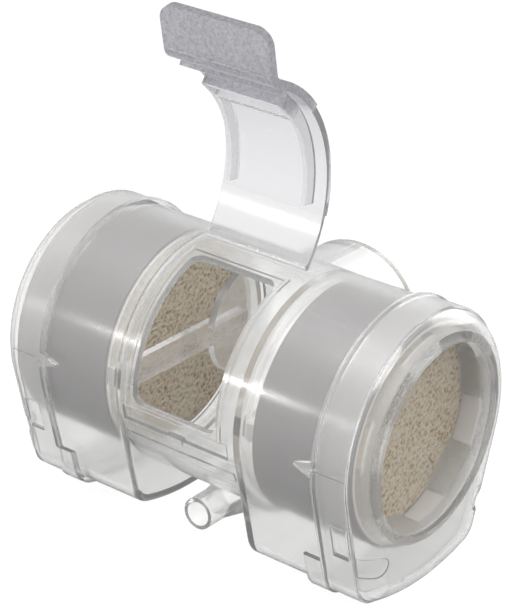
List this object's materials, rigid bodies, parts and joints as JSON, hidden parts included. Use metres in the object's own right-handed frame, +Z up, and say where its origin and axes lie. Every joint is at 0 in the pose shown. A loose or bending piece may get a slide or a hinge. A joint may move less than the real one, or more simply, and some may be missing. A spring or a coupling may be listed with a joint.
{
  "type": "tracheostomy heat and moisture exchanger",
  "caption": "Clear tracheostomy heat and moisture exchanger: capped foam chambers at the ends of a barrel, with a patient connector, an oxygen port and a hinged suction lid.",
  "frame": {"origin": "centre of the patient connector's open end", "axes": "+Y out of the patient connector, towards the tracheostomy tube; +Z up, towards the suction lid's hinge; +X along the barrel"},
  "size_m": [0.0568, 0.0392, 0.0696],
  "materials": {
    "clear_body": "gloss",
    "clear_cap": "gloss",
    "clear_lid": "gloss, with a frosted grip",
    "grey_sleeve": "satin",
    "foam": "open-cell foam, matt"
  },
  "bodies": {
    "housing": {"main_body": "clear_body", "left_end_cap": "clear_cap", "right_end_cap": "clear_cap", "left_foam_sleeve": "grey_sleeve", "right_foam_sleeve": "grey_sleeve", "left_foam_disc": "foam", "right_foam_disc": "foam"},
    "lid": {"suction_lid": "clear_lid"}
  },
  "joints": [
    {"name": "lid_hinge", "type": "hinge", "parent": "housing", "child": "lid", "pos_m": [0, -0.023, 0.01615], "axis": [1, 0, 0], "range_deg": [-15, 126.5]}
  ]
}
